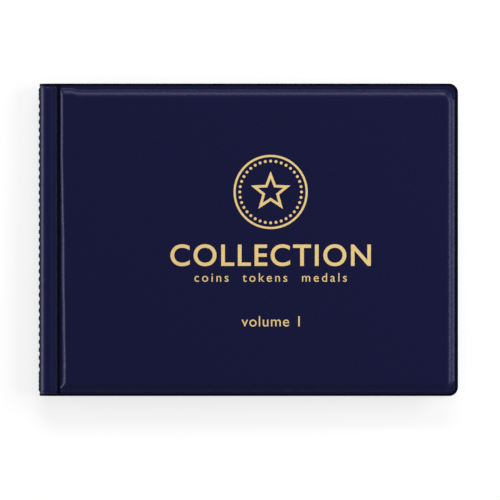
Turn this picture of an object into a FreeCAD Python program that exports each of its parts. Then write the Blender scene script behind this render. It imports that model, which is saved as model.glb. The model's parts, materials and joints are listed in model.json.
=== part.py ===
"""Coin album: a heat-sealed vinyl cover with board stiffeners, sewn through its spine fold
to five folded sheets, which make ten leaves of 24 clear coin pockets.

Millimetres. The album lies closed on its back cover. X runs from the spine to the fore edge,
Y along the spine towards the head, and Z up. The origin is the middle of the footprint, on the
surface that the back cover rests on. Sections are drawn as (s, v): s is the distance from the
outside of the fold towards the fore edge, and v the height above the middle of the album.
"""

import FreeCAD, Part
import math
import os

from FreeCAD import Vector

# Cover
COVER_WIDTH = 209.2  # outside of the fold to the fore edge
COVER_HEIGHT = 156.0  # head to tail
CORNER_RADIUS = 4.5  # the two corners at the fore edge
SKIN = 0.45  # outer vinyl
LINING = 0.25  # inner vinyl
BOARD = 1.6  # chipboard stiffener
BOARD_PLAY = 0.05  # board to the vinyl round it, on every side
RIM_WIDTH = 5.2  # outer edge of the cover to the edge of the board
BOARD_CORNER = 2.0
EDGE_ROLL = 1.3  # radius of the skin where it turns over the board's edge

# Spine
GROOVE_REACH = 5.0  # middle of the fold to the welded hinge groove
GROOVE_TO_BOARD = 3.3
CREST_TO_GROOVE = 1.5  # from where the skin bulges beside the groove
CREST_RISE = 0.3  # of that bulge above the rim
SHOULDER = 1.15  # length of flat skin between the fold and its slope up to the crest
SLOPE_RADIUS = 1.2
CREST_RADIUS = 1.0
GROOVE_RADIUS = 0.8
FOLD_GAP = 0.05  # between a fold and the flat vinyl that turns away from it

# Leaves
SHEETS = 5  # each is folded once and makes two leaves
FILM = 0.2
POCKET_DEPTH = 0.25
LEAF_PITCH = 0.9  # from one leaf to the next in the closed album
LEAF_SHY = 4.2  # how far the leaves stop short of the cover at the fore edge
END_SHY = 3.5  # the same at the head and the tail
LEAF_CORNER = 3.0
FOLD_PITCH = 0.65  # from one sheet to the next where they are folded
INNER_FOLD = 0.5  # radius of the innermost sheet's fold, at the middle of its film
FOLD_PLAY = 0.8  # outermost sheet to the lining at the fold
FOLD_LEG = 1.4  # flat film beyond the fold that stays with the seam
STUB_LENGTH = 9.2  # length over which a leaf rises from the fold to its place in the block
STUB_TO_WELD = 0.1

# Pockets
COLUMNS = 6
ROWS = 4
WELD = 1.2  # width of a welded seam
MOUTH = 3.1  # open film above each row's strip
NOTCH_RADIUS = 7.0
FORE_MARGIN = 0.8  # edge of the leaf to the last weld
END_MARGIN = 1.3  # the same at the head and the tail

# Sewing: one thread in running stitches through the fold
STITCH_PITCH = 3.93
STITCH_LENGTH = 2.2  # of each stitch on the outside
THREAD_RADIUS = 0.25
THREAD_SUNK = 0.1  # how far the thread lies in the vinyl along a stitch
THREAD_BEND = 0.32  # where it turns, the corner is cut by this much
NEEDLE_PLAY = 0.02  # thread to the vinyl and film round it
STITCH_MARGIN = 2.0  # head or tail of the cover to the nearest stitch

# Derived sizes
LEAVES = 2 * SHEETS
LEAF_THICKNESS = 2 * FILM + POCKET_DEPTH
OUTER_FOLD = INNER_FOLD + (SHEETS - 1) * FOLD_PITCH
FOLD_RADIUS = OUTER_FOLD + FILM / 2 + FOLD_PLAY + LINING + SKIN  # outside of the skin
GROOVE = FOLD_RADIUS + GROOVE_REACH
BLOCK_PLAY = 0.2  # between the block of leaves, each with its own share of air, and the linings
INNER_HALF = (LEAVES * LEAF_PITCH) / 2 + BLOCK_PLAY  # middle of the album to a lining
HALF_THICKNESS = INNER_HALF + LINING + BOARD + 2 * BOARD_PLAY + SKIN
RIM_TOP = INNER_HALF + LINING + SKIN
THREAD_PROUD = 2 * THREAD_RADIUS - THREAD_SUNK
ORIGIN_S = (COVER_WIDTH - THREAD_PROUD) / 2
LEAF_END = COVER_WIDTH - LEAF_SHY
LEAF_HEIGHT = COVER_HEIGHT - 2 * END_SHY
LEAF_START = FOLD_RADIUS + FOLD_LEG + FOLD_GAP
POCKETS_START = LEAF_START + STUB_LENGTH + STUB_TO_WELD
POCKETS_END = LEAF_END - FORE_MARGIN
POCKET_WIDTH = (POCKETS_END - POCKETS_START - (COLUMNS + 1) * WELD) / COLUMNS
GRID_TOP = LEAF_HEIGHT / 2 - END_MARGIN
ROW_PITCH = 2 * GRID_TOP / ROWS

made = {}


def at(s, v, y=0.0):
    """The point at s along the section, v above the middle and y along the spine."""
    return Vector(s - ORIGIN_S, y, HALF_THICKNESS + v)


def block(s0, s1, y0, y1, v0, v1):
    """A plain block between two corners."""
    return Part.makeBox(s1 - s0, y1 - y0, v1 - v0, at(s0, v0, y0))


def upright_edges(shape, s, y_sign=0):
    """The edges along Z that stand at s, on one side of the middle or on both."""
    x = s - ORIGIN_S
    return [
        e
        for e in shape.Edges
        if abs(e.Vertexes[0].X - e.Vertexes[-1].X) < 1e-6
        and abs(e.Vertexes[0].Y - e.Vertexes[-1].Y) < 1e-6
        and abs(e.Vertexes[0].X - x) < 1e-6
        and e.Vertexes[0].Y * (y_sign or e.Vertexes[0].Y) > 0
    ]


def rounded_block(s0, s1, half_y, v0, v1, near_radius, far_radius):
    """A block whose upright corners are rounded, at s0 by near_radius and at s1 by far_radius."""
    shape = block(s0, s1, -half_y, half_y, v0, v1)
    if near_radius:
        shape = shape.makeFillet(near_radius, upright_edges(shape, s0))
    if far_radius:
        shape = shape.makeFillet(far_radius, upright_edges(shape, s1))
    return shape


def mirrored(shape):
    """The same piece on the other side of the album's middle plane."""
    return shape.mirror(at(0, 0), Vector(0, 0, 1))


def rounded_path(points, radii):
    """A wire through points in (s, v), with a tangent arc of each radius at the inner points."""
    corners = [at(*p) for p in points]
    edges, start = [], corners[0]
    for before, corner, after, radius in zip(corners, corners[1:], corners[2:], radii):
        back = (before - corner).normalize()
        on = (after - corner).normalize()
        half = back.getAngle(on) / 2
        reach = radius / math.tan(half)
        first, last = corner + back * reach, corner + on * reach
        inward = (back + on).normalize()
        middle = corner + inward * (radius / math.sin(half) - radius)
        edges.append(Part.LineSegment(start, first).toShape())
        edges.append(Part.Arc(first, middle, last).toShape())
        start = last
    edges.append(Part.LineSegment(start, corners[-1]).toShape())
    return Part.Wire(edges)


def band(wire, near, far, half_y):
    """A sheet that follows wire, between two offsets to its inner side, drawn out along Y."""
    outer = wire if not near else wire.makeOffset2D(near, openResult=True)
    inner = wire.makeOffset2D(far, openResult=True)
    a, b = outer.OrderedVertexes, inner.OrderedVertexes
    ends = [
        Part.LineSegment(a[0].Point, b[0].Point).toShape(),
        Part.LineSegment(a[-1].Point, b[-1].Point).toShape(),
    ]
    face = Part.Face(Part.Wire(Part.sortEdges(outer.Edges + inner.Edges + ends)[0]))
    face.translate(Vector(0, -half_y, 0))
    return face.extrude(Vector(0, 2 * half_y, 0))


def fold_band(radius, thickness, half_y, leg=0.0):
    """Half a ring that opens towards the fore edge, with straight legs, drawn out along Y."""
    centre, outer, inner = FOLD_RADIUS, radius, radius - thickness

    def edge(r):
        arc = Part.Arc(at(centre, r), at(centre - r, 0), at(centre, -r)).toShape()
        if not leg:
            return [arc]
        top = Part.LineSegment(at(centre + leg, r), at(centre, r)).toShape()
        foot = Part.LineSegment(at(centre, -r), at(centre + leg, -r)).toShape()
        return [top, arc, foot]

    tip = centre + leg
    ends = [
        Part.LineSegment(at(tip, sign * outer), at(tip, sign * inner)).toShape()
        for sign in (1, -1)
    ]
    face = Part.Face(Part.Wire(Part.sortEdges(edge(outer) + edge(inner) + ends)[0]))
    face.translate(Vector(0, -half_y, 0))
    return face.extrude(Vector(0, 2 * half_y, 0))


# Cover panels: skin, board and lining, with a flat welded rim round the board


def board(play=0.0):
    """The stiffener of the front cover, or the room for it when play is given."""
    return rounded_block(
        GROOVE + GROOVE_TO_BOARD - play,
        COVER_WIDTH - RIM_WIDTH + play,
        COVER_HEIGHT / 2 - RIM_WIDTH + play,
        INNER_HALF + LINING + BOARD_PLAY - play,
        INNER_HALF + LINING + BOARD_PLAY + BOARD + play,
        BOARD_CORNER + play,
        BOARD_CORNER + play,
    )


def strip_run():
    """The skin's outer face beside the fold: shoulder, slope, crest and hinge groove."""
    return rounded_path(
        [
            (FOLD_RADIUS + FOLD_GAP, FOLD_RADIUS),
            (FOLD_RADIUS + SHOULDER, FOLD_RADIUS),
            (GROOVE - CREST_TO_GROOVE, RIM_TOP + CREST_RISE),
            (GROOVE, RIM_TOP),
            (GROOVE + GROOVE_TO_BOARD / 2, RIM_TOP),
        ],
        [SLOPE_RADIUS, CREST_RADIUS, GROOVE_RADIUS],
    )


def lining():
    """The inner vinyl of the front cover, flat under the board and shaped beside the fold."""
    run = strip_run()
    sign = inner_side(run)
    strip = band(run, sign * SKIN, sign * (SKIN + LINING), COVER_HEIGHT / 2)
    flat = rounded_block(
        GROOVE + GROOVE_TO_BOARD / 2,
        COVER_WIDTH,
        COVER_HEIGHT / 2,
        INNER_HALF,
        INNER_HALF + LINING,
        0,
        CORNER_RADIUS,
    )
    return flat.fuse(strip).removeSplitter()


def skin():
    """The outer vinyl of the front cover: a shallow tray over the board, with a flat rim."""
    run = strip_run()
    strip = band(run, 0, inner_side(run) * SKIN, COVER_HEIGHT / 2)
    rim = rounded_block(
        GROOVE + GROOVE_TO_BOARD / 2,
        COVER_WIDTH,
        COVER_HEIGHT / 2,
        INNER_HALF + LINING,
        RIM_TOP,
        0,
        CORNER_RADIUS,
    )
    reach = BOARD_PLAY + SKIN
    tray = rounded_block(
        GROOVE + GROOVE_TO_BOARD - reach,
        COVER_WIDTH - RIM_WIDTH + reach,
        COVER_HEIGHT / 2 - RIM_WIDTH + reach,
        INNER_HALF + LINING,
        HALF_THICKNESS,
        BOARD_CORNER + reach,
        BOARD_CORNER + reach,
    )
    top = HALF_THICKNESS * 2
    top_edges = [e for e in tray.Edges if all(abs(p.Z - top) < 1e-6 for p in e.Vertexes)]
    tray = tray.makeFillet(EDGE_ROLL, top_edges)
    return strip.fuse([rim, tray]).cut(board(BOARD_PLAY)).removeSplitter()


def covers():
    for name, shape in (("skin", skin()), ("board", board()), ("lining", lining())):
        made["front_" + name] = shape
        made["back_" + name] = mirrored(shape)


def inner_side(wire):
    """1 or -1, whichever sign of offset moves the wire towards the middle of the album."""
    moved = wire.makeOffset2D(SKIN, openResult=True)
    return 1 if moved.BoundBox.ZMax < wire.BoundBox.ZMax else -1


# Leaves: a backing film, four strips of pocket film, and the welded grid that joins them


def fold_radius(sheet):
    """Radius of a folded sheet at the middle of its film, counted from 0 for the outermost."""
    return INNER_FOLD + (SHEETS - 1 - sheet) * FOLD_PITCH


def backing(middle, radius):
    """The film that carries the pockets: flat, with a stub that runs down to the fold."""
    top = middle + LEAF_THICKNESS / 2
    bend = LEAF_START + STUB_LENGTH
    outline = [
        (LEAF_START, radius + FILM / 2),
        (bend, top),
        (LEAF_END, top),
        (LEAF_END, top - FILM),
        (bend, top - FILM),
        (LEAF_START, radius - FILM / 2),
    ]
    corners = [at(s, v, -LEAF_HEIGHT / 2) for s, v in outline]
    face = Part.Face(Part.makePolygon(corners + corners[:1]))
    shape = face.extrude(Vector(0, LEAF_HEIGHT, 0))
    return shape.makeFillet(LEAF_CORNER, upright_edges(shape, LEAF_END))


def column_start(column):
    """Where a column's pocket begins, past the weld on its spine side."""
    return POCKETS_START + WELD + column * (POCKET_WIDTH + WELD)


def weld_grid(middle):
    """The welded seams: one beside every column and one below every row."""
    low, high = middle - POCKET_DEPTH / 2, middle + POCKET_DEPTH / 2
    grid = block(POCKETS_START, POCKETS_END, -GRID_TOP, GRID_TOP, low, high)
    windows = []
    for row in range(ROWS):
        foot = -GRID_TOP + row * ROW_PITCH + WELD
        head = foot + ROW_PITCH - WELD + (WELD if row == ROWS - 1 else 0)
        for column in range(COLUMNS):
            s = column_start(column)
            windows.append(block(s, s + POCKET_WIDTH, foot, head, low - 1, high + 1))
    return grid.cut(Part.Compound(windows))


def pocket_strips(middle):
    """One clear strip for each row, with a round thumb notch at the mouth of every pocket."""
    high = middle - POCKET_DEPTH / 2
    low = high - FILM
    strips = []
    for row in range(ROWS):
        foot = -GRID_TOP + row * ROW_PITCH
        head = foot + ROW_PITCH - MOUTH
        strip = block(POCKETS_START, POCKETS_END, foot, head, low, high)
        notches = [
            Part.makeCylinder(
                NOTCH_RADIUS,
                FILM + 2,
                at(column_start(column) + POCKET_WIDTH / 2, low - 1, head),
            )
            for column in range(COLUMNS)
        ]
        strips.append(strip.cut(Part.Compound(notches)))
    return Part.Compound(strips)


def leaves():
    for sheet in range(SHEETS):
        middle = (SHEETS - sheet - 0.5) * LEAF_PITCH
        pieces = {
            "backing": backing(middle, fold_radius(sheet)),
            "weld_grid": weld_grid(middle),
            "pocket_strips": pocket_strips(middle),
        }
        for name, shape in pieces.items():
            made[f"leaf_{sheet + 1:02d}_{name}"] = shape
            made[f"leaf_{LEAVES - sheet:02d}_{name}"] = mirrored(shape)


# Spine: the fold of the cover, the folds of the sheets inside it, and the thread through all


def eight_sided(radius, centre):
    """The outline of a bar of that radius along Y, with eight flats to stand for its roundness."""
    reach = radius / math.cos(math.pi / 8)
    turns = [math.pi * (n + 0.5) / 4 for n in range(8)]
    rim = [centre + Vector(math.cos(a), 0, math.sin(a)) * reach for a in turns]
    return Part.makePolygon(rim + rim[:1])


def thread(radius):
    """A bar along the way of the thread, in at one needle hole and out at the next."""
    outside = THREAD_RADIUS - THREAD_PROUD
    inside = FOLD_RADIUS - INNER_FOLD + FILM / 2 + THREAD_RADIUS
    count = int((COVER_HEIGHT - 2 * STITCH_MARGIN - STITCH_LENGTH) // STITCH_PITCH) + 1
    first = -(count - 1) / 2 * STITCH_PITCH
    half = STITCH_LENGTH / 2
    way = [at(inside, 0, first - STITCH_PITCH / 2)]
    for n in range(count):
        y = first + n * STITCH_PITCH
        for side in (-1, 1):
            hole = y + side * half
            turns = [
                (inside, hole + side * THREAD_BEND),
                (inside - THREAD_BEND, hole),
                (outside + THREAD_BEND, hole),
                (outside, hole - side * THREAD_BEND),
            ]
            way += [at(s, 0, along) for s, along in turns[::-side]]
    way.append(at(inside, 0, first + (count - 0.5) * STITCH_PITCH))
    return Part.makePolygon(way).makePipeShell([eight_sided(radius, way[0])], True, False, 1)


def spine():
    holes = thread(THREAD_RADIUS + NEEDLE_PLAY)
    half_y = COVER_HEIGHT / 2
    made["spine_skin"] = fold_band(FOLD_RADIUS, SKIN, half_y).cut(holes)
    made["spine_lining"] = fold_band(FOLD_RADIUS - SKIN, LINING, half_y).cut(holes)
    folds = [
        fold_band(fold_radius(sheet) + FILM / 2, FILM, LEAF_HEIGHT / 2, FOLD_LEG).cut(holes)
        for sheet in range(SHEETS)
    ]
    made["sheet_folds"] = Part.Compound(folds)
    made["sewing_thread"] = thread(THREAD_RADIUS)


covers()
leaves()
spine()

os.makedirs("parts", exist_ok=True)
for node, shape in sorted(made.items()):
    solids = shape.Solids
    assert solids and all(s.isValid() and s.Volume > 0 for s in solids), node
    (solids[0] if len(solids) == 1 else Part.Compound(solids)).exportStep(f"parts/{node}.step")

whole = Part.Compound(list(made.values())).BoundBox
print(f"{len(made)} nodes, {whole.XLength:.2f} x {whole.YLength:.2f} x {whole.ZLength:.2f} mm")
print(f"x {whole.XMin:.3f} {whole.XMax:.3f}, y {whole.YMin:.3f} {whole.YMax:.3f}, z {whole.ZMin:.3f}")
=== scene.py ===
"""Coin album, closed on a pale floor: its pieces in the order in which it is put together."""

import json
import math

import bpy
from mathutils import Matrix, Vector


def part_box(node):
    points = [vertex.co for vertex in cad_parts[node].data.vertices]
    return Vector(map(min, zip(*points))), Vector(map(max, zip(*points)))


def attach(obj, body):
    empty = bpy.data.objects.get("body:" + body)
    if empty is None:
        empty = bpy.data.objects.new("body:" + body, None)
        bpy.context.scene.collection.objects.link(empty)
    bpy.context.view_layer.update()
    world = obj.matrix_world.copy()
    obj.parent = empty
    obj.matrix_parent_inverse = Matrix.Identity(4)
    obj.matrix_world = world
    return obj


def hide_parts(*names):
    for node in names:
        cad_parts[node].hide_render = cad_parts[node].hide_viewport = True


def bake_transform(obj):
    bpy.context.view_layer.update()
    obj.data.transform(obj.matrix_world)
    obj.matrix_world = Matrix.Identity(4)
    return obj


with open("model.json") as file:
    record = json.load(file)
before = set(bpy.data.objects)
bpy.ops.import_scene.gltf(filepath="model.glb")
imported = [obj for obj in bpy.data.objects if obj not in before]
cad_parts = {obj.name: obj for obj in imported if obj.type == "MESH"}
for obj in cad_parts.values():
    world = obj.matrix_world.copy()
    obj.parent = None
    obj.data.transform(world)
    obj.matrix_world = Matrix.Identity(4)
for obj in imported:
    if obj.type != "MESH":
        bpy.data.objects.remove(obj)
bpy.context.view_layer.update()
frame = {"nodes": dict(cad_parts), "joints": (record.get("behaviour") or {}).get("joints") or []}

# ---------------------------------------------------------------------------------------
# Stiffener boards. Grey chipboard, 1.6 mm, cut with rounded corners and laid loose between
# the two layers of vinyl of each cover before the edges are welded. The flat fibres leave a
# matt face with darker specks of recycled print.
# ---------------------------------------------------------------------------------------

mm = 0.001
hinge = next(joint for joint in frame["joints"] if joint["name"] == "cover_open")
axis_x, _, axis_z = hinge["pos_m"]


def linear(hex_colour):
    """An sRGB colour such as "1b1c39" as the four linear values that a shader takes."""
    parts = [int(hex_colour[n:n + 2], 16) / 255 for n in (0, 2, 4)]
    return [c / 12.92 if c <= 0.04045 else ((c + 0.055) / 1.055) ** 2.4 for c in parts] + [1.0]


def add(tree, kind, settings=None, **links):
    """One node, with its settings by attribute or socket name, and the sockets that feed it."""
    node = tree.nodes.new(kind)
    for key, value in (settings or {}).items():
        if hasattr(node, key):
            setattr(node, key, value)
        else:
            node.inputs[key].default_value = value
    for name, source in links.items():
        tree.links.new(source, node.inputs[name.replace("_", " ")])
    return node


def new_material(name, **shader):
    """A node material, its tree and its Principled shader, with values for the shader's sockets."""
    material = bpy.data.materials.new(name)
    material.use_nodes = True
    principled = material.node_tree.nodes["Principled BSDF"]
    for socket, value in shader.items():
        principled.inputs[socket.replace("_", " ")].default_value = value
    return material, material.node_tree, principled


chipboard, tree, shader = new_material("grey_chipboard", Roughness=0.9, IOR=1.45)
place = add(tree, "ShaderNodeTexCoord").outputs["Object"]
fibres = add(tree, "ShaderNodeTexNoise", {"Scale": 900.0, "Detail": 3.0}, Vector=place)
specks = add(tree, "ShaderNodeTexNoise", {"Scale": 260.0, "Detail": 1.0}, Vector=place)
tone = add(tree, "ShaderNodeValToRGB", None, Fac=specks.outputs["Fac"])
tone.color_ramp.elements[0].position = 0.34
tone.color_ramp.elements[0].color = linear("6f6a62")
tone.color_ramp.elements[1].position = 0.42
tone.color_ramp.elements[1].color = linear("958f85")
relief = {"Strength": 0.4, "Distance": 0.0001}
rise = add(tree, "ShaderNodeBump", relief, Height=fibres.outputs["Fac"])
tree.links.new(tone.outputs["Color"], shader.inputs["Base Color"])
tree.links.new(rise.outputs["Normal"], shader.inputs["Normal"])
for board in ("front_board", "back_board"):
    mesh = frame["nodes"][board].data
    mesh.materials.clear()
    mesh.materials.append(chipboard)

# ---------------------------------------------------------------------------------------
# Inner vinyl. One sheet of smooth navy PVC, 0.25 mm, that lines both covers and the spine
# and is welded to the outer vinyl round the edges and along the two hinge grooves. The weld
# shows on it as a shallow channel a little inside the edge.
# ---------------------------------------------------------------------------------------

skin_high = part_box("front_skin")[1]
board_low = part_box("front_board")[0]
half_height, fore_edge, cover_top = skin_high.y, skin_high.x, skin_high.z
corner_radius = 4.5 * mm
skin_thickness = 0.45 * mm
lining_thickness = 0.25 * mm
fold_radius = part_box("spine_skin")[1].z - axis_z
board_bed = board_low.z - 0.05 * mm  # the lining's upper face, where the two layers are welded
rim_top = board_bed + skin_thickness
crest_x = axis_x + 3.6 * mm
groove_x = axis_x + 5.1 * mm
foot_x = axis_x + 5.7 * mm  # where the skin starts to rise over the board


def ease(t):
    """0 below 0, 1 above 1, and a smooth rise between."""
    t = min(max(t, 0.0), 1.0)
    return t * t * (3 - 2 * t)


def spaced(start, stop, gap):
    """Even stations from start up to, not including, stop, about gap apart."""
    count = max(1, round(abs(stop - start) / gap))
    return [start + (stop - start) * n / count for n in range(count)]


def inside(x, y, low, high, half, radius):
    """How far a point lies inside a rectangle with rounded corners; below 0 outside it."""
    to_side, to_end = min(x - low, high - x), half - abs(y)
    if to_side < radius and to_end < radius:
        return radius - math.hypot(radius - to_side, radius - to_end)
    return min(to_side, to_end)


def strip_height(x):
    """Height of the skin's outer face over the hinge axis, from the fold to the hinge groove."""
    crest = rim_top - axis_z + 0.45 * mm
    if x < crest_x:
        way = max(0.0, (x - axis_x) / (crest_x - axis_x))
        return fold_radius + (crest - fold_radius) * (0.6 * ease(way) + 0.4 * way)
    return crest - 0.65 * mm * ease((x - crest_x) / (0.8 * (groove_x - crest_x)))


def wrapped_sheet(name, columns, rows, surface, radius):
    """A sheet that covers the front, goes round the fold and covers the back.

    A flat grid is laid out line by line. columns holds x for each line on a cover, from the
    fore edge to the hinge axis, surface(x, y, side) the height over the axis, and
    radius(turn, y) the fold's radius at each turn from the front.
    """
    turns = [math.pi * n / 20 for n in range(1, 20)]
    across = len(columns) * 2 + len(turns)
    bpy.ops.object.select_all(action="DESELECT")
    bpy.ops.mesh.primitive_grid_add(x_subdivisions=across - 1, y_subdivisions=len(rows) - 1, size=2)
    sheet = bpy.context.object
    sheet.name = sheet.data.name = name
    for vertex in sheet.data.vertices:
        line = round((vertex.co.x + 1) / 2 * (across - 1))
        y = rows[round((vertex.co.y + 1) / 2 * (len(rows) - 1))]
        side = 1
        if line >= len(columns) + len(turns):
            side, line = -1, across - 1 - line
        if line < len(columns):
            x = columns[line]
            near = max(corner_radius - (fore_edge - x), 0)
            y *= 1 - (corner_radius - math.sqrt(corner_radius**2 - near**2)) / half_height
            vertex.co = (x, y, axis_z + side * surface(x, y, side))
        else:
            turn = turns[line - len(columns)]
            reach = radius(turn, y)
            vertex.co = (axis_x - reach * math.sin(turn), y, axis_z + reach * math.cos(turn))
    return sheet


def give_thickness(sheet, thickness):
    """Thickens a sheet on its inner side."""
    bpy.ops.object.mode_set(mode="EDIT")
    bpy.ops.mesh.select_all(action="SELECT")
    bpy.ops.mesh.normals_make_consistent(inside=False)
    bpy.ops.object.mode_set(mode="OBJECT")
    wall = sheet.modifiers.new("thickness", "SOLIDIFY")
    wall.thickness = thickness
    wall.offset = -1
    bpy.ops.object.modifier_apply(modifier=wall.name)
    bpy.ops.object.shade_smooth_by_angle(angle=math.radians(50))


def lining_height(x, y, side):
    """Outer face of the lining over the hinge axis: flat, with a channel where it is welded."""
    bed = board_bed - axis_z
    if x < groove_x:
        return min(strip_height(x) - skin_thickness, bed)
    weld = inside(x, y, foot_x, fore_edge - 3 * mm, half_height - 3 * mm, 3 * mm)
    channel = 0.1 * mm * math.exp(-((weld / (0.4 * mm)) ** 2))
    return bed - channel * ease((x - groove_x) / mm)


corner_lines = [fore_edge - corner_radius * (1 - math.cos(math.pi / 24 * n)) for n in range(12)]
flat_start, flat_end = axis_x + 17 * mm, fore_edge - 8 * mm
board_lines = spaced(fore_edge - corner_radius, flat_end, 0.3 * mm)
board_lines += spaced(flat_end, flat_start, 24 * mm)
groove_lines = spaced(flat_start, axis_x + 9 * mm, mm)
groove_lines += spaced(axis_x + 9 * mm, axis_x, 0.22 * mm) + [axis_x]
end_rows = spaced(half_height, half_height - 7 * mm, 0.3 * mm)
lining_rows = [-y for y in end_rows]
lining_rows += spaced(7 * mm - half_height, half_height - 7 * mm, 12 * mm)
lining_rows += [half_height - 7 * mm] + end_rows[::-1]
lining = wrapped_sheet(
    "cover_lining",
    corner_lines + board_lines + groove_lines,
    lining_rows,
    lining_height,
    lambda turn, y: fold_radius - skin_thickness,
)
give_thickness(lining, lining_thickness)

smooth_vinyl, tree, shader = new_material(
    "smooth_navy_pvc", Roughness=0.38, IOR=1.45, Specular_IOR_Level=0.35
)
shader.inputs["Specular Tint"].default_value = (0.7, 0.7, 1, 1)
place = add(tree, "ShaderNodeTexCoord").outputs["Object"]
cloud = add(tree, "ShaderNodeTexNoise", {"Scale": 60.0, "Detail": 2.0}, Vector=place)
fine = add(tree, "ShaderNodeTexNoise", {"Scale": 1600.0, "Detail": 2.0}, Vector=place)
tone = add(tree, "ShaderNodeValToRGB", None, Fac=cloud.outputs["Fac"])
tone.color_ramp.elements[0].color = linear("0e1030")
tone.color_ramp.elements[1].color = linear("13153c")
relief = {"Strength": 0.3, "Distance": 0.00003}
rise = add(tree, "ShaderNodeBump", relief, Height=fine.outputs["Fac"])
tree.links.new(tone.outputs["Color"], shader.inputs["Base Color"])
tree.links.new(rise.outputs["Normal"], shader.inputs["Normal"])
lining.data.materials.append(smooth_vinyl)
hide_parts("front_lining", "spine_lining", "back_lining")
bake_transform(lining)

# ---------------------------------------------------------------------------------------
# Folded sheets. Five clear PVC films are folded once and nested, so each makes two leaves.
# ---------------------------------------------------------------------------------------

sheets = 5
fan_step = 8.0  # degrees between neighbouring leaves when the covers lie flat
film = 0.2 * mm
fold_pitch, inner_fold = 0.65 * mm, 0.5 * mm
grid_low, grid_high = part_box("leaf_01_weld_grid")
leaf_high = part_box("leaf_01_backing")[1]
leaf_half = leaf_high.y

clear_film, tree, shader = new_material(
    "clear_pvc_film", Roughness=0.16, IOR=1.53, Alpha=0.17, Specular_IOR_Level=0.8
)
place = add(tree, "ShaderNodeTexCoord").outputs["Object"]
slack = add(tree, "ShaderNodeTexNoise", {"Scale": 45.0, "Detail": 1.0}, Vector=place)
haze = add(tree, "ShaderNodeTexNoise", {"Scale": 320.0, "Detail": 3.0}, Vector=place)
tone = add(tree, "ShaderNodeValToRGB", None, Fac=haze.outputs["Fac"])
tone.color_ramp.elements[0].color = linear("c9d6dd")
tone.color_ramp.elements[1].color = linear("e6eef2")
relief = {"Strength": 0.35, "Distance": 0.0012}
rise = add(tree, "ShaderNodeBump", relief, Height=slack.outputs["Fac"])
tree.links.new(tone.outputs["Color"], shader.inputs["Base Color"])
tree.links.new(rise.outputs["Normal"], shader.inputs["Normal"])

for sheet in range(sheets):
    radius = inner_fold + (sheets - 1 - sheet) * fold_pitch
    bpy.ops.object.select_all(action="DESELECT")
    bpy.ops.mesh.primitive_cylinder_add(
        vertices=48,
        radius=radius + film / 2,
        depth=leaf_half * 2,
        end_fill_type="NOTHING",
        location=(axis_x, 0, axis_z),
        rotation=(math.pi / 2, 0, 0),
    )
    fold = bpy.context.object
    fold.name = fold.data.name = f"sheet_{sheet + 1}_fold"
    bpy.ops.object.transform_apply(location=True, rotation=True, scale=True)
    bpy.ops.object.mode_set(mode="EDIT")
    bpy.ops.mesh.select_all(action="SELECT")
    bpy.ops.mesh.bisect(
        plane_co=(axis_x, 0, axis_z), plane_no=(1, 0, 0), clear_outer=True, threshold=1e-7
    )
    bpy.ops.object.mode_set(mode="OBJECT")
    give_thickness(fold, film)
    fold.data.materials.append(clear_film)
    if sheet == 0:
        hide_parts("sheet_folds")
    # The two leaves stop short of the covers. The reach that gives the fold's own edges the same
    # share of the turn is worked out here, but nothing uses it.
    share = fan_step * (sheet + 1) / 180
    reach = radius * 0.5 / math.sin(math.asin(1 - 2 * share) / 3)
    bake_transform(fold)

# ---------------------------------------------------------------------------------------
# Leaves. The half of a folded sheet that carries the pockets: it lies straight beside the
# fold, rises to its own height in the block and runs flat to the fore edge, where its two
# corners are rounded off by the cutting die.
# ---------------------------------------------------------------------------------------

leg, ramp = 1.45 * mm, 9.2 * mm
leaf_corner = 3 * mm


def leaf_backing(leaf, sheet, side):
    """The film of one leaf, from the edge of its fold to the fore edge."""
    low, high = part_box(f"{leaf}_weld_grid")
    near = high.z if side > 0 else low.z
    level = near + side * film / 2
    start_level = axis_z + side * (inner_fold + (sheets - 1 - sheet) * fold_pitch)
    bend_x = axis_x + leg + ramp
    bpy.ops.object.select_all(action="DESELECT")
    bpy.ops.mesh.primitive_cube_add(
        size=1,
        location=((bend_x + leaf_high.x) / 2, 0, level),
        scale=(leaf_high.x - bend_x, leaf_half * 2, film),
    )
    piece = bpy.context.object
    piece.name = piece.data.name = f"{leaf}_film"
    bpy.ops.object.transform_apply(location=True, rotation=True, scale=True)
    bpy.ops.object.mode_set(mode="EDIT")
    bpy.ops.mesh.select_mode(type="EDGE")
    bpy.ops.mesh.select_all(action="DESELECT")
    bpy.ops.object.mode_set(mode="OBJECT")
    for edge in piece.data.edges:
        a, b = (piece.data.vertices[n].co for n in edge.vertices)
        edge.select = min(a.x, b.x) > leaf_high.x - 1e-6 and abs(a.y - b.y) < 1e-6
    bpy.ops.object.mode_set(mode="EDIT")
    bpy.ops.mesh.bevel(offset=leaf_corner, segments=6, affect="EDGES")
    bpy.ops.mesh.select_mode(type="FACE")
    bpy.ops.mesh.select_all(action="DESELECT")
    bpy.ops.object.mode_set(mode="OBJECT")
    for face in piece.data.polygons:
        face.select = face.normal.x < -0.9
    bpy.ops.object.mode_set(mode="EDIT")
    for run, rise in ((ramp, start_level - level), (leg, 0)):
        bpy.ops.mesh.extrude_region_move(TRANSFORM_OT_translate={"value": (-run, 0, rise)})
    bpy.ops.object.mode_set(mode="OBJECT")
    bpy.ops.object.shade_smooth_by_angle(angle=math.radians(40))
    piece.data.materials.append(clear_film)
    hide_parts(f"{leaf}_backing")
    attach(piece, leaf)


for sheet in range(sheets):
    leaf_backing(f"leaf_{sheet + 1:02d}", sheet, 1)
    leaf_backing(f"leaf_{2 * sheets - sheet:02d}", sheet, -1)

# ---------------------------------------------------------------------------------------
# Pocket strips. Each row of pockets has one strip of clear film across its front, with a
# round thumb notch at the mouth of every pocket. Between the welds the film is a little
# slack and stands off the backing.
# ---------------------------------------------------------------------------------------

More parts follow.
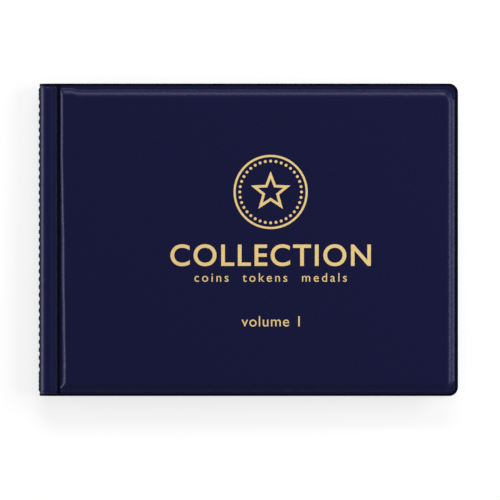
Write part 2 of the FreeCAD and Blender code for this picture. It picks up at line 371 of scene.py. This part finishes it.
pocket_columns, pocket_rows = 6, 4
weld = 1.2 * mm
strip_low, strip_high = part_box("leaf_01_pocket_strips")
row_pitch = (grid_high.y - grid_low.y) / pocket_rows
strip_height_y = strip_high.y - (grid_low.y + (pocket_rows - 1) * row_pitch)
pocket_pitch = (strip_high.x - strip_low.x - weld) / pocket_columns
notch = 7 * mm
slack_rise = 0.12 * mm

offsets = [0.0, pocket_pitch / 2 - weld / 2, pocket_pitch / 2, 11 * mm]
offsets += [notch * math.sin(math.pi * n / 12) for n in range(1, 7)]
offsets = sorted(offsets)
strip_lines = []
for column in range(pocket_columns):
    middle = strip_low.x + weld / 2 + (column + 0.5) * pocket_pitch
    mirrored_lines = [middle - o for o in offsets[:0:-1]] + [middle + o for o in offsets]
    strip_lines += mirrored_lines[:-1]
strip_lines += [strip_low.x + weld / 2 + pocket_columns * pocket_pitch, strip_high.x]
strip_lines.insert(0, strip_low.x)
strip_steps = 6


def pocket_strip(row):
    """The strip of one row, lying over the middle of its own leaf at height 0."""
    bpy.ops.object.select_all(action="DESELECT")
    across = len(strip_lines) - 1
    bpy.ops.mesh.primitive_grid_add(x_subdivisions=across, y_subdivisions=strip_steps, size=2)
    strip = bpy.context.object
    foot = grid_low.y + row * row_pitch
    for vertex in strip.data.vertices:
        x = strip_lines[round((vertex.co.x + 1) / 2 * across)]
        from_weld = (x - strip_low.x - weld / 2) % pocket_pitch
        off = from_weld - pocket_pitch / 2
        head = foot + strip_height_y
        if abs(off) < notch:
            head -= math.sqrt(notch**2 - off**2)
        up = (vertex.co.y + 1) / 2
        y = foot + up * (head - foot)
        width = ease((pocket_pitch / 2 - abs(off)) / (5 * mm))
        height = slack_rise * width * ease((y - foot - weld) / (5 * mm))
        vertex.co = (x, y, -height)
    return strip


strips = [pocket_strip(row) for row in range(pocket_rows)]
for strip in strips:
    strip.select_set(True)
bpy.context.view_layer.objects.active = strips[0]
bpy.ops.object.join()
strip_pattern = bpy.context.object
wall = strip_pattern.modifiers.new("thickness", "SOLIDIFY")
wall.thickness = film
wall.offset = 1
bpy.ops.object.modifier_apply(modifier=wall.name)
bpy.ops.object.shade_smooth_by_angle(angle=math.radians(40))

for sheet in range(sheets):
    for number, side in ((sheet + 1, 1), (2 * sheets - sheet, -1)):
        leaf = f"leaf_{number:02d}"
        low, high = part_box(f"{leaf}_pocket_strips")
        strip = strip_pattern.copy()
        strip.data = strip_pattern.data.copy()
        bpy.context.collection.objects.link(strip)
        strip.name = strip.data.name = f"{leaf}_strips"
        if side > 0:
            strip.data.transform(Matrix.Translation((0, 0, high.z - film)))
        else:
            turned_over = Matrix.Scale(-1, 4, (0, 0, 1))
            strip.data.transform(Matrix.Translation((0, 0, low.z + film)) @ turned_over)
            strip.data.flip_normals()
        strip.data.materials.append(clear_film)
        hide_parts(f"{leaf}_pocket_strips")
        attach(strip, leaf)
bpy.data.objects.remove(strip_pattern)

# ---------------------------------------------------------------------------------------
# Welded seams. Where the heated tool presses a strip to its backing, the two films run
# together into one, milky from the fine ribs of the tool.
# ---------------------------------------------------------------------------------------

weld_ribs, tree, shader = new_material("ribbed_pvc_weld", Roughness=0.3, IOR=1.53, Alpha=0.5)
place = add(tree, "ShaderNodeTexCoord").outputs["Object"]
ribs = add(
    tree,
    "ShaderNodeTexWave",
    {"wave_type": "BANDS", "bands_direction": "DIAGONAL", "Scale": 160.0},
    Vector=place,
)
tone = add(tree, "ShaderNodeValToRGB", None, Fac=ribs.outputs["Fac"])
tone.color_ramp.elements[0].color = linear("b4c2ca")
tone.color_ramp.elements[1].color = linear("edf3f6")
relief = {"Strength": 0.6, "Distance": 0.0001}
rise = add(tree, "ShaderNodeBump", relief, Height=ribs.outputs["Fac"])
tree.links.new(tone.outputs["Color"], shader.inputs["Base Color"])
tree.links.new(rise.outputs["Normal"], shader.inputs["Normal"])
for number in range(1, 2 * sheets + 1):
    mesh = frame["nodes"][f"leaf_{number:02d}_weld_grid"].data
    mesh.materials.clear()
    mesh.materials.append(weld_ribs)

# ---------------------------------------------------------------------------------------
# Outer vinyl. One sheet of navy PVC, 0.45 mm, embossed with a fine leather grain. It is drawn
# over both boards, welded to the lining in a rim round them and in a groove beside the fold,
# and puckered by the sewing. The weld leaves a soft bead along the cut edge.
# ---------------------------------------------------------------------------------------

stitch_pitch, stitch_length = 3.93 * mm, 2.2 * mm
thread_low, thread_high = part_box("sewing_thread")
stitch_count = round((thread_high.y - thread_low.y) / stitch_pitch)
first_stitch = -(stitch_count - 1) / 2 * stitch_pitch
rim_height = rim_top - axis_z
# How far in from each edge the skin leaves the weld, and over what width it rises from there
# to the flat of the board.
hinge_drape = 2.4 * mm
fore_foot, fore_drape = 2.4 * mm, 3.3 * mm
head_foot, head_drape = 3.2 * mm, 4.6 * mm
tail_foot, tail_drape = 2.8 * mm, 3.6 * mm
fore_turn = 1.5  # radius of the two corners at the fore edge, in drapes


def ridge_shift(y, side):
    """The edge beside the groove isn't straight: it wanders, and curls out at the tail."""
    towards_tail = ease(0.5 - y / (2 * half_height))
    wander = 1.4 * towards_tail + 0.07 * math.sin(y * 95 + side) + 0.05 * math.sin(y * 210 + 2)
    tail_curl = 1.8 * ease((7.5 * mm - half_height - y) / (5 * mm))
    return (wander - tail_curl) * mm


def head_shift(x, side):
    """The edge at the head steps inwards a little way from the hinge."""
    step = 0.9 * (1 - ease((x - axis_x - 11.5 * mm) / (4 * mm)))
    return (0.08 * math.sin(x * 130 + side) - step) * mm


def rise_over_board(x, y, side):
    """0 on the welded rim, 1 on the flat of the board, and rounded between."""
    if y > 0:
        from_end = (half_height - head_foot - head_shift(x, side) - y) / head_drape
    else:
        from_end = (half_height - tail_foot + y) / tail_drape
    from_fore = (fore_edge - fore_foot - x) / fore_drape
    over = min(from_fore, from_end)
    if max(from_fore, from_end) < fore_turn:
        over = fore_turn - math.hypot(fore_turn - from_fore, fore_turn - from_end)
    from_hinge = (x - foot_x - ridge_shift(y, side)) / hinge_drape
    over = 1 - min(max(over, 0.0), 1.0)
    from_hinge = 1 - min(max(from_hinge, 0.0), 1.0)
    return (1 - over**2.3) * (1 - from_hinge**2)


def cross_weld(y):
    """The weld across the spine, a little in from the head and the tail."""
    inwards = half_height - abs(y)
    line = 0.28 * mm * math.exp(-(((inwards - 1.65 * mm) / (0.4 * mm)) ** 2))
    return line + 0.2 * mm * max(0.0, 1 - inwards / (0.4 * mm))


def skin_height(x, y, side):
    """Outer face of the skin over the hinge axis."""
    edge = inside(x, y, axis_x - 1, fore_edge, half_height, corner_radius)
    on_rim = ease((x - groove_x) / mm)
    height = strip_height(max(x, axis_x)) if x < groove_x else strip_height(groove_x)
    height -= cross_weld(y) * (1 - on_rim)
    height += on_rim * (rim_height - strip_height(groove_x))
    # the rim: a flat pressed edge, a soft bead, and the groove at the foot of the panel
    bead = 0.34 * ease((edge - 1.3 * mm) / mm) - 0.2 * ease((edge - 2.3 * mm) / (0.5 * mm))
    flatter = 1 - 0.75 * ease((y - half_height + 6 * mm) / (3 * mm))
    height += on_rim * (bead * flatter - 0.22) * mm
    return height + (cover_top - axis_z - height) * rise_over_board(x, y, side)


def skin_fold_radius(turn, y):
    """The fold's radius: drawn in at every needle hole and along the cross welds."""
    along = (y - first_stitch + stitch_pitch / 2) % stitch_pitch - stitch_pitch / 2
    from_hole = (abs(along) - stitch_length / 2) / (0.45 * mm)
    from_seam = (turn - math.pi / 2) * fold_radius / (0.8 * mm)
    dent = 0.16 * mm * math.exp(-(from_hole**2) - from_seam**2)
    return fold_radius - dent - cross_weld(y)


row_end = 7.4 * mm
skin_rows = spaced(-half_height, row_end - half_height, 0.27 * mm)
skin_rows += spaced(row_end - half_height, half_height - row_end, stitch_pitch / 6)
skin_rows += [half_height - row_end] + spaced(half_height, half_height - row_end, 0.27 * mm)[::-1]
skin = wrapped_sheet(
    "cover_skin",
    corner_lines + board_lines + groove_lines,
    skin_rows,
    skin_height,
    skin_fold_radius,
)
give_thickness(skin, skin_thickness)


def dulling_and_painted_shade(x, y):
    """Painted shade: 1 along the cut edge, 0.8 in the groove, 0.5 on the fold's outer edge, where
    the base colour is darkened towards black. The same mask picks the dull vinyl, where the welding
    tool has pressed the skin smooth.
    """
    edge = inside(x, y, axis_x - 1, fore_edge, half_height, corner_radius)
    width = 1.0 + 0.35 * ease((x - fore_edge + 5 * mm) / (3 * mm))
    into_groove = ease((x - groove_x + 1.5 * mm) / (0.5 * mm))
    out_of_groove = ease((x - foot_x + 0.1 * mm) / (0.5 * mm))
    on_fold = ease((axis_x - 0.8 * fold_radius - x) / (0.3 * mm))
    return max(
        1 - ease((edge - width * mm) / (0.4 * mm)),
        0.8 * into_groove * (1 - out_of_groove),
        0.5 * on_fold,
    )


# The painted shade, stored on the points for the shader: full along the cut edge, most of it in the
# groove, half of it on the fold's outer edge.
painted_shade = skin.data.attributes.new("painted_shade", "FLOAT", "POINT")
for vertex, shade_share in zip(skin.data.vertices, painted_shade.data):
    x, y, z = vertex.co
    side = math.copysign(1, z - axis_z)
    bed = board_bed - axis_z
    if x > crest_x and abs(z - axis_z) < bed:
        vertex.co.z = axis_z + side * bed
    shade_share.value = dulling_and_painted_shade(x, y)

vinyl, tree, shader = new_material(
    "grained_navy_pvc", Roughness=0.34, IOR=1.45, Specular_IOR_Level=0.3
)
shader.inputs["Specular Tint"].default_value = (0.66, 0.66, 1, 1)
place = add(tree, "ShaderNodeTexCoord").outputs["Object"]
# The embossing roller's grain: irregular pebbles about 0.9 mm across with fine creases
# between, over a much finer tooth.
warp = add(tree, "ShaderNodeTexNoise", {"Scale": 700.0, "Detail": 1.0}, Vector=place)
bent = add(tree, "ShaderNodeVectorMath", {"operation": "MULTIPLY_ADD"})
tree.links.new(warp.outputs["Color"], bent.inputs[0])
bent.inputs[1].default_value = (0.0007, 0.0007, 0.0007)
tree.links.new(place, bent.inputs[2])
pebbles = add(
    tree,
    "ShaderNodeTexVoronoi",
    {"feature": "DISTANCE_TO_EDGE", "Scale": 1100.0},
    Vector=bent.outputs["Vector"],
)
crease = add(tree, "ShaderNodeMapRange", {"From Max": 0.22}, Value=pebbles.outputs["Distance"])
tooth = add(tree, "ShaderNodeTexNoise", {"Scale": 3200.0, "Detail": 2.0}, Vector=place)
grain = add(tree, "ShaderNodeMath", {"operation": "MULTIPLY_ADD"})
tree.links.new(tooth.outputs["Fac"], grain.inputs[0])
grain.inputs[1].default_value = 0.35
tree.links.new(crease.outputs["Result"], grain.inputs[2])
relief = {"Strength": 0.5, "Distance": 0.00004}
rise = add(tree, "ShaderNodeBump", relief, Height=grain.outputs["Value"])
tone = add(tree, "ShaderNodeValToRGB", None, Fac=crease.outputs["Result"])
tone.color_ramp.elements[0].color = linear("0d0f30")
tone.color_ramp.elements[1].color = linear("101238")
# Painted shade: by the mask made above, the base colour is mixed towards near black along the cut
# edge, in the hinge groove and over the fold's outer edge.
shade_mask = add(tree, "ShaderNodeAttribute", {"attribute_name": "painted_shade"}).outputs["Fac"]
painted_shade_mix = add(tree, "ShaderNodeMix", {"data_type": "RGBA"})
tree.links.new(shade_mask, painted_shade_mix.inputs["Factor"])
tree.links.new(tone.outputs["Color"], painted_shade_mix.inputs[6])
painted_shade_mix.inputs[7].default_value = linear("03030a")
tree.links.new(painted_shade_mix.outputs[2], shader.inputs["Base Color"])
tree.links.new(rise.outputs["Normal"], shader.inputs["Normal"])
skin.data.materials.append(vinyl)

# The same vinyl where the weld has flattened it, and where the fold rubs on the shelf: dull.
dull_vinyl = vinyl.copy()
dull_vinyl.name = "rubbed_navy_pvc"
shader = dull_vinyl.node_tree.nodes["Principled BSDF"]
shader.inputs["Roughness"].default_value = 0.65
shader.inputs["Specular IOR Level"].default_value = 0.08
skin.data.materials.append(dull_vinyl)
for face in skin.data.polygons:
    if dulling_and_painted_shade(face.center.x, face.center.y) > 0.4:
        face.material_index = 1

# At a low angle the pebbles of the grain hide one another, and the vinyl loses its gloss.
turned_away = add(tree, "ShaderNodeLayerWeight", {"Blend": 0.5}).outputs["Facing"]
gloss = add(
    tree,
    "ShaderNodeMapRange",
    {"From Min": 0.55, "From Max": 0.9, "To Min": 0.34, "To Max": 0.75},
    Value=turned_away,
)
shader = tree.nodes["Principled BSDF"]
tree.links.new(gloss.outputs["Result"], shader.inputs["Roughness"])
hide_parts("front_skin", "spine_skin", "back_skin")
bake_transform(skin)

# ---------------------------------------------------------------------------------------
# Sewing. One bonded polyester thread, 0.5 mm, in running stitches through the cover and all
# five folds. At each end it is turned back over the last stitches to lock it.
# ---------------------------------------------------------------------------------------

thread_radius = 0.25 * mm
outside_x = thread_low.x + thread_radius
inside_x = thread_high.x - thread_radius
bend = 0.32 * mm
half_stitch = stitch_length / 2


def stitch_points(middle, half):
    """The way of the thread out of one hole, along the fold and in at the next."""
    way = []
    for side in (-1, 1):
        hole = middle + side * half
        turns = [
            (inside_x, hole + side * bend),
            (inside_x - bend, hole),
            (outside_x + bend, hole),
            (outside_x, hole - side * bend),
        ]
        way += turns[::-side]
    return way


route = [(inside_x, thread_low.y)]
for n in range(stitch_count):
    route += stitch_points(first_stitch + n * stitch_pitch, half_stitch)
route.append((inside_x, thread_high.y))
locks = [
    first_stitch + stitch_pitch / 2,
    first_stitch + 1.5 * stitch_pitch,
    -first_stitch - stitch_pitch / 2,
]
ways = [route] + [stitch_points(middle, (stitch_pitch - stitch_length) / 2) for middle in locks]

curve = bpy.data.curves.new("sewing", "CURVE")
curve.dimensions = "3D"
curve.bevel_depth = thread_radius
curve.bevel_resolution = 2
curve.use_fill_caps = True
for way in ways:
    spline = curve.splines.new("NURBS")
    spline.points.add(len(way) - 1)
    for point, (x, y) in zip(spline.points, way):
        point.co = (x, y, axis_z, 1)
    spline.order_u = 3
    spline.use_endpoint_u = True
    spline.resolution_u = 3
thread = bpy.data.objects.new("sewing", curve)
bpy.context.collection.objects.link(thread)
bpy.ops.object.select_all(action="DESELECT")
thread.select_set(True)
bpy.context.view_layer.objects.active = thread
bpy.ops.object.convert(target="MESH")
thread = bpy.context.object
bpy.ops.object.shade_smooth()

polyester, tree, shader = new_material("bonded_polyester_thread", Roughness=0.55, IOR=1.5)
place = add(tree, "ShaderNodeTexCoord").outputs["Object"]
plies = add(
    tree,
    "ShaderNodeTexWave",
    {"wave_type": "BANDS", "bands_direction": "DIAGONAL", "Scale": 420.0},
    Vector=place,
)
tone = add(tree, "ShaderNodeValToRGB", None, Fac=plies.outputs["Fac"])
tone.color_ramp.elements[0].color = linear("06061a")
tone.color_ramp.elements[1].color = linear("10112c")
relief = {"Strength": 0.8, "Distance": 0.0001}
rise = add(tree, "ShaderNodeBump", relief, Height=plies.outputs["Fac"])
tree.links.new(tone.outputs["Color"], shader.inputs["Base Color"])
tree.links.new(rise.outputs["Normal"], shader.inputs["Normal"])
thread.data.materials.append(polyester)
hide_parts("sewing_thread")
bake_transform(thread)

# ---------------------------------------------------------------------------------------
# Foil print. Gold hot-stamping foil, pressed on the front cover: a coin with a beaded rim and
# a star, over three plain lines of lettering.
# ---------------------------------------------------------------------------------------

print_x = 11.25 * mm
foil = 0.02 * mm
foil_z = cover_top

gold, tree, shader = new_material("gold_hot_foil", Metallic=0.45, Roughness=0.5)
place = add(tree, "ShaderNodeTexCoord").outputs["Object"]
grain = add(tree, "ShaderNodeTexNoise", {"Scale": 1500.0, "Detail": 2.0}, Vector=place)
tone = add(tree, "ShaderNodeValToRGB", None, Fac=grain.outputs["Fac"])
tone.color_ramp.elements[0].position = 0.3
tone.color_ramp.elements[0].color = linear("efce82")
tone.color_ramp.elements[1].position = 0.7
tone.color_ramp.elements[1].color = linear("fde09c")
relief = {"Strength": 0.4, "Distance": 0.00003}
rise = add(tree, "ShaderNodeBump", relief, Height=grain.outputs["Fac"])
tree.links.new(tone.outputs["Color"], shader.inputs["Base Color"])
tree.links.new(rise.outputs["Normal"], shader.inputs["Normal"])


def stamp(piece, name):
    """Finishes a flat outline as a piece of foil on the cover."""
    piece.name = piece.data.name = name
    bpy.ops.object.select_all(action="DESELECT")
    piece.select_set(True)
    bpy.context.view_layer.objects.active = piece
    bpy.ops.object.transform_apply(location=True, rotation=True, scale=True)
    wall = piece.modifiers.new("foil", "SOLIDIFY")
    wall.thickness = foil
    wall.offset = 1
    bpy.ops.object.modifier_apply(modifier=wall.name)
    bpy.ops.object.shade_flat()
    piece.data.materials.append(gold)
    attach(piece, "front_cover")


def ring(radius, stroke, y):
    """A flat ring, from a disc whose middle is inset and taken out."""
    bpy.ops.object.select_all(action="DESELECT")
    bpy.ops.mesh.primitive_circle_add(
        vertices=128, radius=radius, fill_type="NGON", location=(print_x, y, foil_z)
    )
    piece = bpy.context.object
    bpy.ops.object.mode_set(mode="EDIT")
    bpy.ops.mesh.select_all(action="SELECT")
    bpy.ops.mesh.inset(thickness=stroke)
    bpy.ops.mesh.delete(type="FACE")
    bpy.ops.object.mode_set(mode="OBJECT")
    return piece


emblem_y = 23.85 * mm
ring_radius, ring_stroke = 18.5 * mm, 1.05 * mm
stamp(ring(ring_radius, ring_stroke, emblem_y), "foil_ring")

bead_count, bead_radius, bead_circle = 36, 0.72 * mm, 15.4 * mm
beads = []
for n in range(bead_count):
    turn = 2 * math.pi * n / bead_count
    bpy.ops.object.select_all(action="DESELECT")
    bpy.ops.mesh.primitive_circle_add(
        vertices=16,
        radius=bead_radius,
        fill_type="NGON",
        location=(
            print_x + bead_circle * math.cos(turn),
            emblem_y + bead_circle * math.sin(turn),
            foil_z,
        ),
    )
    beads.append(bpy.context.object)
for bead in beads:
    bead.select_set(True)
bpy.context.view_layer.objects.active = beads[0]
bpy.ops.object.join()
stamp(bpy.context.object, "foil_beads")

star_tip, star_notch, star_stroke = 10.4 * mm, 4.4 * mm, 1.3 * mm
bpy.ops.object.select_all(action="DESELECT")
bpy.ops.mesh.primitive_circle_add(
    vertices=10, radius=star_tip, fill_type="NGON", location=(print_x, emblem_y, foil_z)
)
star = bpy.context.object
for n, vertex in enumerate(star.data.vertices):
    reach = star_tip if n % 2 == 0 else star_notch
    turn = math.pi / 2 + math.pi * n / 5
    vertex.co = (reach * math.cos(turn), reach * math.sin(turn), 0)
bpy.ops.object.mode_set(mode="EDIT")
bpy.ops.mesh.select_all(action="SELECT")
bpy.ops.mesh.inset(thickness=star_stroke)
bpy.ops.mesh.delete(type="FACE")
bpy.ops.object.mode_set(mode="OBJECT")
stamp(star, "foil_star")


def lettering(words, name, width, y, spacing, weight):
    """A line of lettering, set in the plain built-in face, as wide as it is meant to be."""
    bpy.ops.object.select_all(action="DESELECT")
    bpy.ops.object.text_add(location=(0, 0, 0))
    line = bpy.context.object
    line.data.body = words
    line.data.align_x = "CENTER"
    line.data.align_y = "CENTER"
    line.data.space_character = spacing
    line.data.offset = weight
    bpy.ops.object.convert(target="MESH")
    line = bpy.context.object
    xs = [v.co.x for v in line.data.vertices]
    ys = [v.co.y for v in line.data.vertices]
    size = width / (max(xs) - min(xs))
    line.scale = (size, size, size)
    line.location = (
        print_x - size * (max(xs) + min(xs)) / 2,
        y - size * (max(ys) + min(ys)) / 2,
        foil_z,
    )
    stamp(line, name)


lettering("COLLECTION", "foil_title", 100 * mm, -7.7 * mm, 1.12, 0.012)
lettering("coins  tokens  medals", "foil_small_line", 76 * mm, -18.8 * mm, 1.35, 0.0)
lettering("volume 1", "foil_volume", 29 * mm, -40.7 * mm, 1.1, 0.0)

# ---------------------------------------------------------------------------------------
# Studio. A white table, soft boxes low on the left and beyond the head, a weaker one on the
# right, and the camera straight above with a long lens.
# ---------------------------------------------------------------------------------------

bpy.ops.object.select_all(action="DESELECT")
bpy.ops.mesh.primitive_plane_add(size=6)
table = bpy.context.object
table.name = table.data.name = "white_table"
# Milk acrylic, lit from below as well as from above, so that shadows on it stay pale.
acrylic, tree, shader = new_material("milk_acrylic", Roughness=0.9, Emission_Strength=0.7)
shader.inputs["Base Color"].default_value = (0.32, 0.32, 0.32, 1)
shader.inputs["Emission Color"].default_value = (1, 1, 1, 1)
table.data.materials.append(acrylic)


def soft_box(name, place, aim, width, height, power):
    """A soft box at place that faces aim."""
    light = bpy.data.lights.new(name, "AREA")
    light.shape = "RECTANGLE"
    light.size, light.size_y, light.energy = width, height, power
    holder = bpy.data.objects.new(name, light)
    bpy.context.collection.objects.link(holder)
    holder.location = place
    holder.rotation_euler = (Vector(aim) - Vector(place)).to_track_quat("-Z", "Y").to_euler()


soft_box("left_box", (-1.5, 0.1, 0.18), (0, 0, 0), 1.4, 0.26, 17)
soft_box("head_box", (0.0, 1.3, 0.95), (0, 0, 0), 1.4, 0.4, 15)
soft_box("right_box", (0.9, 0.1, 0.6), (0, 0, 0), 1.0, 0.4, 9)

world = bpy.data.worlds.new("studio")
bpy.context.scene.world = world
world.use_nodes = True
background = world.node_tree.nodes["Background"]
background.inputs["Color"].default_value = (1, 1, 1, 1)
background.inputs["Strength"].default_value = 0.28

lens_mm, sensor_mm, distance = 432.7, 36.0, 3.0
camera = bpy.data.cameras.new("camera")
camera.lens, camera.sensor_width = lens_mm, sensor_mm
camera_holder = bpy.data.objects.new("camera", camera)
bpy.context.collection.objects.link(camera_holder)
camera_holder.location = (0.95 * mm, -5.1 * mm, rim_top + distance)
bpy.context.scene.camera = camera_holder
bpy.context.scene.view_settings.view_transform = "Standard"
# Light goes through up to ten films and their pocket strips, one behind another.
bpy.context.scene.cycles.transparent_max_bounces = 64
